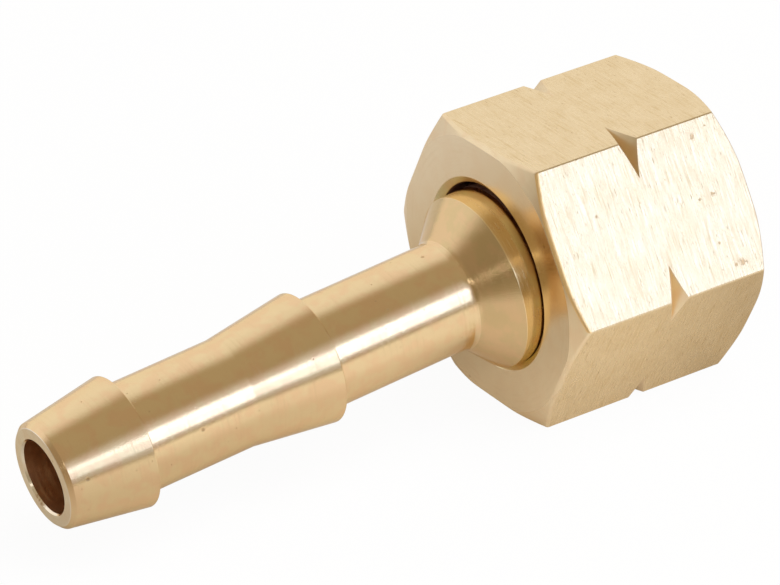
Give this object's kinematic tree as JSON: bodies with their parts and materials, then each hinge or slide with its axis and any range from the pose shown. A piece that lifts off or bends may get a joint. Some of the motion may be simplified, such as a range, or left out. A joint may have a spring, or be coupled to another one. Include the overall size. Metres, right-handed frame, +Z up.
{
  "type": "hose barb tail",
  "caption": "Turned brass hose tail with barbs, a bore and a ball nose, held by its collar in a loose hexagon union nut with a left-hand pipe thread.",
  "frame": {"origin": "centre of the nut's thread where it meets the chamfer of the mouth", "axes": "+X along the nut's axis, from the hose end to the threaded mouth; +Z up, away from the flat that the nut lies on"},
  "size_m": [0.0499, 0.022, 0.019],
  "materials": {
    "tail_brass": "fine turned",
    "nut_brass": "drawn bar flats, turned ends"
  },
  "bodies": {
    "tail": {"hose_tail": "tail_brass"},
    "nut": {"union_nut": "nut_brass"}
  },
  "joints": [
    {"name": "nut_spin", "type": "hinge", "parent": "tail", "child": "nut", "pos_m": [0, 0, 0], "axis": [1, 0, 0], "continuous": true}
  ]
}
